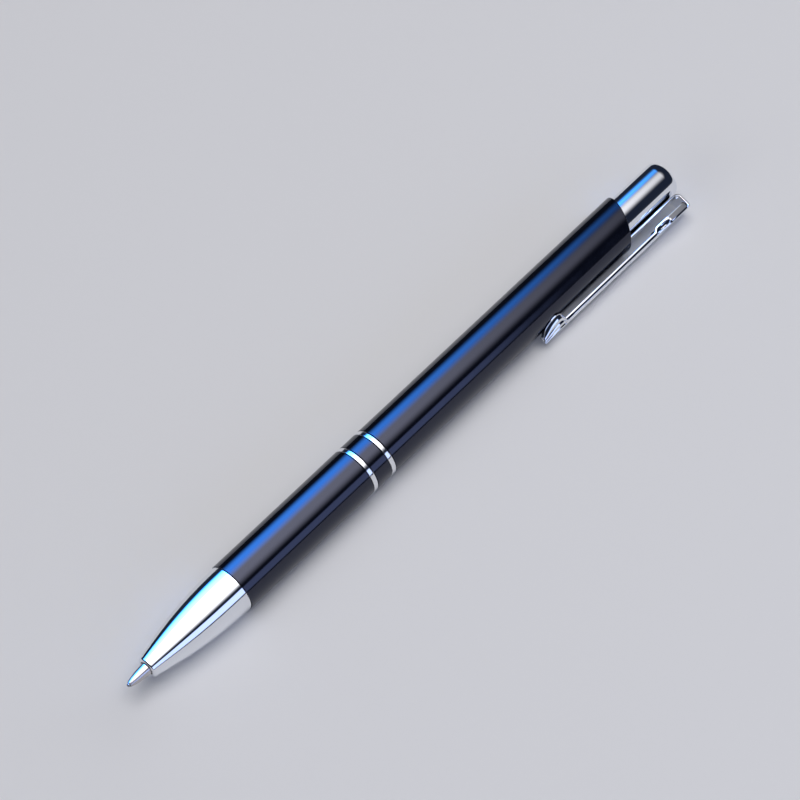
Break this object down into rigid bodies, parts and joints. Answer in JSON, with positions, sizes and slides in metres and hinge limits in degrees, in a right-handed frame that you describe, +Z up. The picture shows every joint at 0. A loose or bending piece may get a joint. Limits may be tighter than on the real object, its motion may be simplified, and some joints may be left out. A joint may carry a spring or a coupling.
{
  "type": "ballpoint pen",
  "caption": "Push-button ballpoint pen with a slim gloss black barrel, bright rings, a bright nose cone and button, and a bent sheet clip that ends in a leaf.",
  "frame": {"origin": "middle of the bounding box in X and Y, on the surface the pen lies on", "axes": "+X along the pen from the writing tip to the push button, +Z up from the surface it lies on, clip on the -Y side"},
  "size_m": [0.1376, 0.0116, 0.0095],
  "materials": {
    "chrome_plate": "polished",
    "ring_metal": "polished",
    "black_lacquer": "high gloss",
    "nickel_silver": "turned, satin",
    "brass": "turned, satin",
    "bright_steel": "drawn, satin",
    "ball_steel": "polished",
    "white_plastic": "moulded",
    "black_plastic": "moulded",
    "ink": "wet",
    "grease": "wet"
  },
  "bodies": {
    "barrel": {"nose_cone": "chrome_plate", "nose_bushing": "brass", "lower_barrel": "black_lacquer", "front_ring": "ring_metal", "coupler": "black_lacquer", "rear_ring": "ring_metal", "upper_bushing": "brass", "upper_barrel": "black_lacquer", "cam_housing": "white_plastic", "return_spring": "bright_steel"},
    "button": {"plunger": "black_plastic", "push_button": "chrome_plate"},
    "refill": {"writing_ball": "ball_steel", "refill_point": "nickel_silver", "refill_adapter": "brass", "refill_tube": "bright_steel", "ink_column": "ink", "ink_follower": "grease", "refill_end_plug": "black_plastic"},
    "cam": {"rotary_cam": "white_plastic"},
    "clip": {"clip": "chrome_plate"}
  },
  "joints": [
    {"name": "button_press", "type": "slide", "parent": "barrel", "child": "button", "axis": [1, 0, 0], "range_m": [-0.0013, 0.006]},
    {"name": "refill_slide", "type": "slide", "parent": "barrel", "child": "refill", "axis": [1, 0, 0], "range_m": [-0.0013, 0.006], "deforming": ["return_spring"]},
    {"name": "cam_turn", "type": "hinge", "parent": "refill", "child": "cam", "pos_m": [0.032, 0.0011, 0.00475], "axis": [1, 0, 0], "continuous": true},
    {"name": "clip_flex", "type": "hinge", "parent": "barrel", "child": "clip", "pos_m": [0.0668, -0.00199, 0.00332], "axis": [0, -0.421, 0.907], "range_deg": [0, 4], "stiffness_Nm_per_rad": 1.8, "deforming": ["clip"]}
  ],
  "couplings": [
    {"joint": "refill_slide", "follows": "button_press", "ratio": 1}
  ]
}
